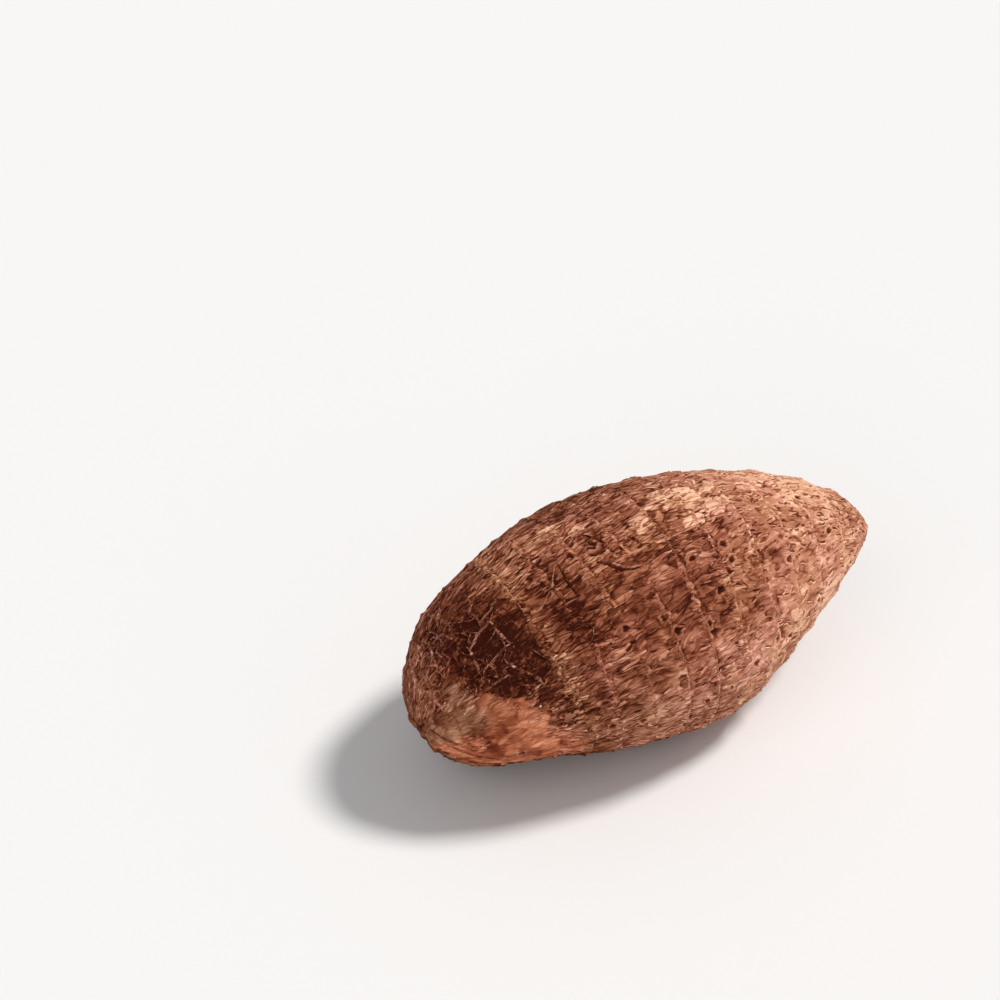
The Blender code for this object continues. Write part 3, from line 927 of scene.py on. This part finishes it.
def make_root_scars(skin, material):
    """Small craters: a dark middle with a raised, lighter rim that sinks into the skin."""
    j = np.arange(CRATER_POINTS)
    k = (j + 1) % CRATER_POINTS
    share, height, tone = np.array(CRATER).T[:, None, :, None]
    along, angle, size = (values[:, None, None] for values in root_scars())
    rim = size * (0.7 + 0.6 * hashed(np.arange(len(size))[:, None, None], j, 91))
    turns = j * 2 * math.pi / CRATER_POINTS
    place = skin.distance_at(along) + share * rim * np.cos(turns)
    turn = angle + share * rim * np.sin(turns) / skin.radius_at(place)
    points = skin.sample(skin.surface, place, turn)
    points = points + height[..., None] * MM * skin.sample(skin.normal, place, turn)
    marks = {mark: skin.sample(getattr(skin, mark), place, turn) for mark in ("tone", "hue", "calm")}
    marks["tone"] = marks["tone"] + tone
    marks = {mark: values.ravel() for mark, values in marks.items()}
    marks["grain"] = skin.weave(place, turn).reshape(-1, 3)
    low = np.arange(place[..., 0].size).reshape(place.shape[:2])[:, :-1, None] * CRATER_POINTS
    high = low + CRATER_POINTS
    faces = np.stack([low + j, high + j, high + k, low + k], -1).reshape(-1, 4).tolist()
    piece = add_object("root_scars", points.reshape(-1, 3), faces, marks, material)
    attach(piece, "root")


class Nodes:
    """Short ways to add nodes to a material."""

    def __init__(self, tree):
        self.tree = tree

    def add(self, kind, inputs=None, **settings):
        made = self.tree.nodes.new(kind)
        for name, value in settings.items():
            setattr(made, name, value)
        for name, value in (inputs or {}).items():
            socket = made.inputs[name]
            if isinstance(value, bpy.types.NodeSocket):
                self.tree.links.new(value, socket)
            else:
                socket.default_value = value
        return made

    def attribute(self, name, output="Fac"):
        return self.add("ShaderNodeAttribute", attribute_name=name).outputs[output]

    def math(self, operation, *values):
        return self.add("ShaderNodeMath", dict(enumerate(values)), operation=operation).outputs[0]

    def product(self, *values):
        return self.math("MULTIPLY", *values)

    def less(self, value, share):
        """1 where the value is 0, down to 1 less this share where it is 1."""
        return self.math("MULTIPLY_ADD", value, -share, 1.0)

    def gap(self, value, level):
        return self.math("ABSOLUTE", self.math("SUBTRACT", value, level))

    def ramp(self, value, low, high, start=0.0, end=1.0):
        limits = {"Value": value, "From Min": low, "From Max": high, "To Min": start, "To Max": end}
        return self.add("ShaderNodeMapRange", limits, interpolation_type="SMOOTHSTEP").outputs["Result"]

    def scaled(self, vector, size):
        return self.add("ShaderNodeMapping", {"Vector": vector, "Scale": size}).outputs["Vector"]

    def mix(self, factor, a, b, blend="MIX"):
        """This node's sockets share their names, so they are set by place."""
        made = self.add("ShaderNodeMix", {0: factor, 6: a, 7: b}, data_type="RGBA", blend_type=blend)
        return made.outputs[2]

    def noise(self, vector, size, detail=2.0, roughness=0.5, distortion=0.0):
        inputs = {"Vector": self.scaled(vector, tuple(1 / x for x in size)), "Scale": 1.0, "Detail": detail}
        inputs.update({"Roughness": roughness, "Distortion": distortion})
        return self.add("ShaderNodeTexNoise", inputs).outputs["Fac"]

    def folds(self, vector, size, width):
        """Lines that follow the noise, each a groove with a ridge beside it, in the bump; in colour the
        groove is darkened with painted shade and the ridge lightened with painted light.
        """
        level = self.noise(vector, size, 1.0, 0.5, 0.25)
        groove = self.ramp(self.gap(level, 0.5), 0, width, 1, 0)
        lit_ridge = self.ramp(self.gap(level, 0.5 + 1.2 * width), 0, width, 0.55, 0)
        return self.math("SUBTRACT", lit_ridge, groove)


def fibre_detail(nodes, grain, place, distance):
    """Streaks and folds along the fibres. Towards the tip the long folds give way to short ones."""
    tipward = nodes.ramp(distance, 0.09, 0.16)
    streak = nodes.noise(grain, (9.0 * MM, 2.1 * MM, 2.1 * MM), 2.0, 0.5, 0.15)
    streak = nodes.ramp(streak, 0.30, 0.70, -0.5, 0.5)
    # The folds' dark grooves are painted shade and their light ridges painted light, on top of their bump.
    long_folds = nodes.folds(grain, (9.5 * MM, 2.2 * MM, 2.2 * MM), 0.065)
    fine_folds = nodes.folds(grain, (7.0 * MM, 1.5 * MM, 1.5 * MM), 0.075)
    short_folds = nodes.folds(grain, (6.0 * MM, 2.9 * MM, 2.9 * MM), 0.090)
    here = nodes.ramp(nodes.noise(place, (7.0 * MM,) * 3, 1.0), 0.38, 0.56)
    there = nodes.ramp(nodes.noise(grain, (3.2 * MM,) * 3, 1.0), 0.46, 0.56)
    long_folds = nodes.product(long_folds, nodes.product(here, nodes.ramp(tipward, 0, 1, 1.0, 0.35)))
    short_folds = nodes.product(short_folds, nodes.product(there, nodes.ramp(tipward, 0, 1, 0.6, 1.0)))
    fine_share = nodes.product(nodes.ramp(here, 0, 1, 0.30, 0.20), nodes.ramp(tipward, 0, 1, 1.0, 0.4))
    detail = nodes.product(streak, nodes.ramp(tipward, 0, 1, 0.17, 0.11))
    detail = nodes.math("MULTIPLY_ADD", long_folds, 0.36, detail)
    detail = nodes.math("MULTIPLY_ADD", fine_folds, fine_share, detail)
    return nodes.math("MULTIPLY_ADD", short_folds, 0.42, detail)


def with_net(nodes, detail, net, place):
    """A net of crossing strings, wide and close, in place of most of the detail where the skin has one."""
    wide = nodes.noise(place, (4.6 * MM,) * 3, 1.0, 0.5, 0.4)
    close = nodes.noise(place, (2.6 * MM,) * 3, 1.0, 0.5, 0.4)
    wide = nodes.ramp(nodes.gap(wide, 0.5), 0.01, 0.065, 0.32, 0)
    close = nodes.ramp(nodes.gap(close, 0.5), 0.01, 0.08, 0.20, 0)
    strings = nodes.math("SUBTRACT", nodes.math("ADD", wide, close), 0.16)
    net = nodes.ramp(net, 0.15, 0.75)
    return nodes.math("MULTIPLY_ADD", strings, net, nodes.product(detail, nodes.less(net, 0.65)))


def with_cork(nodes, detail, place, distance):
    """Cork in place of most of the detail close to both ends."""
    near_base = nodes.ramp(distance, 7 * MM, 12 * MM, 1, 0)
    near_tip = nodes.ramp(distance, END_OF_FIBRES - 12 * MM, END_OF_FIBRES, 0, 1)
    near_end = nodes.math("MAXIMUM", near_base, near_tip)
    cork = nodes.ramp(nodes.noise(place, (2.2 * MM,) * 3, 3.0, 0.6), 0.35, 0.65, -0.16, 0.16)
    return nodes.math("MULTIPLY_ADD", cork, near_end, nodes.product(detail, nodes.less(near_end, 0.85)))


def skin_material(name, tint=(1, 1, 1)):
    """Bark-like skin. The tint multiplies all of its colours."""
    material = bpy.data.materials.new(name)
    material.use_nodes = True
    tree = material.node_tree
    shader = tree.nodes["Principled BSDF"]
    nodes = Nodes(tree)
    tone, patch, hue, soft, net = (nodes.attribute(mark) for mark in ("tone", "patch", "hue", "calm", "net"))
    grain = nodes.attribute("grain", "Vector")
    place = nodes.add("ShaderNodeTexCoord").outputs["Object"]
    distance = nodes.add("ShaderNodeSeparateXYZ", {"Vector": grain}).outputs["X"]
    detail = fibre_detail(nodes, grain, place, distance)
    detail = with_net(nodes, detail, net, place)
    detail = with_cork(nodes, detail, place, distance)
    calm = nodes.product(nodes.ramp(patch, 0.0, 1.0, 1.0, 0.28), nodes.less(soft, 0.50))

    varied = nodes.math("MULTIPLY_ADD", detail, calm, tone)
    palette = nodes.add("ShaderNodeValToRGB", {"Fac": varied})
    for position, _ in TONES[1:-1]:
        palette.color_ramp.elements.new(position)
    for element, (position, colour) in zip(palette.color_ramp.elements, TONES):
        element.position = position
        element.color = (*colour, 1)
    cast = nodes.mix(hue, (*OLIVE, 1), (*ROSE, 1))
    rubbed = nodes.mix(hue, (*PATCH_OLIVE, 1), (*PATCH_ORANGE, 1))
    toned = nodes.mix(1.0, palette.outputs["Color"], nodes.mix(patch, cast, rubbed), "MULTIPLY")
    toned = nodes.mix(1.0, toned, (*tint, 1), "MULTIPLY")
    tree.links.new(toned, shader.inputs["Base Color"])

    heights = {"Height": nodes.product(detail, calm), "Strength": BUMP_STRENGTH, "Distance": BUMP_HEIGHT}
    tree.links.new(nodes.add("ShaderNodeBump", heights).outputs["Normal"], shader.inputs["Normal"])
    shader.inputs["Roughness"].default_value = SKIN_ROUGHNESS
    shader.inputs["Specular IOR Level"].default_value = SKIN_SHINE
    return material


def make_floor():
    bpy.ops.mesh.primitive_plane_add(size=FLOOR_SIZE, location=(0, 0, 0))
    floor = bpy.context.object
    floor.name = "floor"
    material = bpy.data.materials.new("floor")
    material.use_nodes = True
    shader = material.node_tree.nodes["Principled BSDF"]
    shader.inputs["Base Color"].default_value = (FLOOR_GREY, FLOOR_GREY, FLOOR_GREY, 1)
    shader.inputs["Roughness"].default_value = 0.9
    floor.data.materials.append(material)


def back_direction(azimuth, elevation):
    """The way from the middle to a camera or light at this azimuth and elevation."""
    a, e = math.radians(azimuth), math.radians(elevation)
    return Vector((math.sin(a) * math.cos(e), -math.cos(a) * math.cos(e), math.sin(e)))


def add_aimed(name, data, location, back):
    """A camera or light that looks away from this direction."""
    made = bpy.data.objects.new(name, data)
    bpy.context.scene.collection.objects.link(made)
    made.location = location
    made.rotation_mode = "QUATERNION"
    made.rotation_quaternion = (-back).to_track_quat("-Z", "Y")
    return made


def make_camera():
    data = bpy.data.cameras.new("camera")
    data.lens = CAMERA_LENS
    data.sensor_width = 36
    back = back_direction(CAMERA_AZIMUTH, CAMERA_ELEVATION)
    camera = add_aimed("camera", data, CAMERA_AIM + CAMERA_DISTANCE * back, back)
    bpy.context.scene.camera = camera


def make_sun(name, azimuth, elevation, strength, softness, colour=(1, 1, 1)):
    data = bpy.data.lights.new(name, "SUN")
    data.energy = strength
    data.angle = math.radians(softness)
    data.color = colour
    towards = back_direction(azimuth, elevation)
    add_aimed(name, data, towards, towards)


def make_lights():
    make_sun("key", azimuth=75, elevation=56, strength=2.7, softness=12, colour=(1.0, 0.97, 0.94))
    make_sun("fill", azimuth=-60, elevation=35, strength=0.65, softness=60)
    world = bpy.data.worlds.new("studio")
    bpy.context.scene.world = world
    world.use_nodes = True
    nodes = Nodes(world.node_tree)
    way = nodes.add("ShaderNodeTexCoord").outputs["Generated"]
    rise = nodes.add("ShaderNodeSeparateXYZ", {"Vector": way}).outputs["Z"]
    strength = nodes.ramp(rise, *SKY_HEIGHTS, 1.0, SKY_FADED)
    background = world.node_tree.nodes["Background"]
    world.node_tree.links.new(strength, background.inputs["Strength"])
    background.inputs["Color"].default_value = (1, 1, 1, 1)


def main():
    bpy.context.scene.view_settings.view_transform = "Standard"
    make_camera()
    make_lights()
    make_floor()
    skin = Skin()
    material = skin_material("skin")
    make_skin(skin, material)
    make_root_scars(skin, material)
    long_strands = strands(
        skin, seed=101, spacing=2.0 * MM, length=9 * MM, lean=0.6, width=0.88 * MM, lift=0.32 * MM,
        lighter=0.10, share=0.34)
    short_strands = strands(
        skin, seed=102, spacing=1.8 * MM, length=5.5 * MM, lean=1.1, width=0.66 * MM, lift=0.24 * MM,
        lighter=0.06, share=0.22)
    add_ribbons("long_strands", [long_strands], material)
    add_ribbons("short_strands", [short_strands], material)
    add_ribbons("rings", [ring_lips(skin)], material)

    pale = drawn(skin, LOOSE_FIBRES, width=1.35 * MM, height=0.55 * MM, tone=0.50, wiggle=1.3 * MM, own=0)
    fibres = loose_fibres(skin, count=1500, seed=103)
    add_ribbons("loose_fibres", [pale, fibres], skin_material("pale_fibre", PALE_FIBRE))

    lift = 0.28 * MM
    scales = flakes(skin, 1000, seed=106, length=5.0 * MM, width=3.0 * MM, lift=lift, lighter=-0.02)
    paper = flakes(
        skin, 250, seed=104, length=4.6 * MM, width=2.8 * MM, lift=lift, lighter=0.04, placed=PAPER_FLAKES)
    edge = flakes(
        skin, 700, seed=107, length=3.0 * MM, width=0.85 * MM, lift=lift, lighter=0.06, placed=EDGE_FLAKES,
        pale=0.50)
    add_ribbons("flakes", [scales, paper, edge], material)

    cracks = drawn(skin, CRACKS, width=1.5 * MM, height=0.42 * MM, tone=-0.34, wiggle=0.7 * MM)
    fine = drawn(skin, FINE_CRACKS, width=1.0 * MM, height=0.40 * MM, tone=-0.24, wiggle=0.7 * MM)
    streaks = drawn(skin, STREAKS, width=2.2 * MM, height=0.20 * MM, tone=-0.13, wiggle=0.9 * MM)
    edges = drawn(
        skin, CRACKS, width=1.4 * MM, height=0.52 * MM, tone=0.12, wiggle=0.6 * MM, offset=1.1 * MM)
    ridges = drawn(skin, RIDGES, width=1.8 * MM, height=0.50 * MM, tone=0.13, wiggle=0.9 * MM)
    wear = marks_of_wear(skin, count=1700, seed=105)
    add_ribbons("cracks", [cracks, fine, streaks, edges, ridges, *wear], material)


main()
